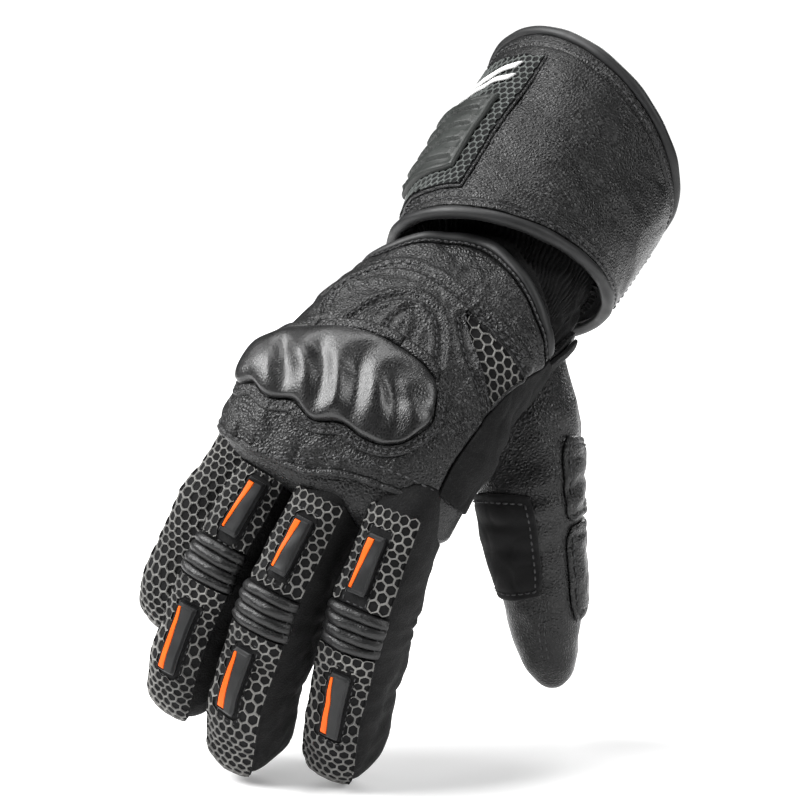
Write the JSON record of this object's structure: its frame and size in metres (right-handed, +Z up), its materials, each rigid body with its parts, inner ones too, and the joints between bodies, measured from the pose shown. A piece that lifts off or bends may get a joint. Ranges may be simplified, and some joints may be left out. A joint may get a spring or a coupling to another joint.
{
  "type": "gauntlet glove",
  "caption": "Right-hand leather touring glove with a knuckle guard, net panels, rubber finger inserts and a gauntlet cuff, worn form with bent fingers.",
  "frame": {"origin": "middle of the wrist, inside the glove", "axes": "+Z up as it stands in the picture, the fingers point down and to -Y, the thumb is on the +X side, the cuff rises to +Y"},
  "size_m": [0.1131, 0.1975, 0.239],
  "materials": {
    "black_leather": "pebbled, satin",
    "guard_leather": "smooth, semi-gloss",
    "black_softshell": "matt woven",
    "black_suede": "matt nap",
    "grey_net": "grey hexagon net on black",
    "dark_rubber": "matt",
    "grey_rubber": "matt",
    "orange_rubber": "satin",
    "grey_piping": "satin",
    "white_print": "matt"
  },
  "bodies": {
    "root": {"back_net": "grey_net", "back_panel": "black_leather", "cuff_bar_lower": "white_print", "cuff_bar_upper": "white_print", "cuff_lower_piping": "grey_piping", "cuff_net": "grey_net", "cuff_rib_plate": "grey_rubber", "cuff_upper_piping": "grey_piping", "gauntlet_cuff": "black_leather", "guard_band": "black_leather", "index_body": "black_softshell", "index_flex": "black_leather", "index_insert_lower": "dark_rubber", "index_insert_upper": "dark_rubber", "index_net_lower": "grey_net", "index_net_upper": "grey_net", "index_stripe_lower": "orange_rubber", "index_stripe_upper": "orange_rubber", "knuckle_guard": "guard_leather", "little_body": "black_softshell", "little_net": "grey_net", "middle_body": "black_softshell", "middle_flex": "black_leather", "middle_insert_lower": "dark_rubber", "middle_insert_upper": "dark_rubber", "middle_net_lower": "grey_net", "middle_net_upper": "grey_net", "middle_stripe_lower": "orange_rubber", "middle_stripe_upper": "orange_rubber", "palm_body": "black_leather", "ring_body": "black_softshell", "ring_flex": "black_leather", "ring_insert_lower": "dark_rubber", "ring_insert_upper": "dark_rubber", "ring_net_lower": "grey_net", "ring_net_upper": "grey_net", "ring_stripe_lower": "orange_rubber", "ring_stripe_upper": "orange_rubber", "side_strip": "black_softshell", "thumb_body": "black_leather", "thumb_pad_lower": "black_leather", "thumb_pad_upper": "black_leather", "thumb_patch": "black_suede", "wrist_gather": "black_softshell", "wrist_piping": "grey_piping", "wrist_tab": "black_softshell"}
  },
  "joints": []
}
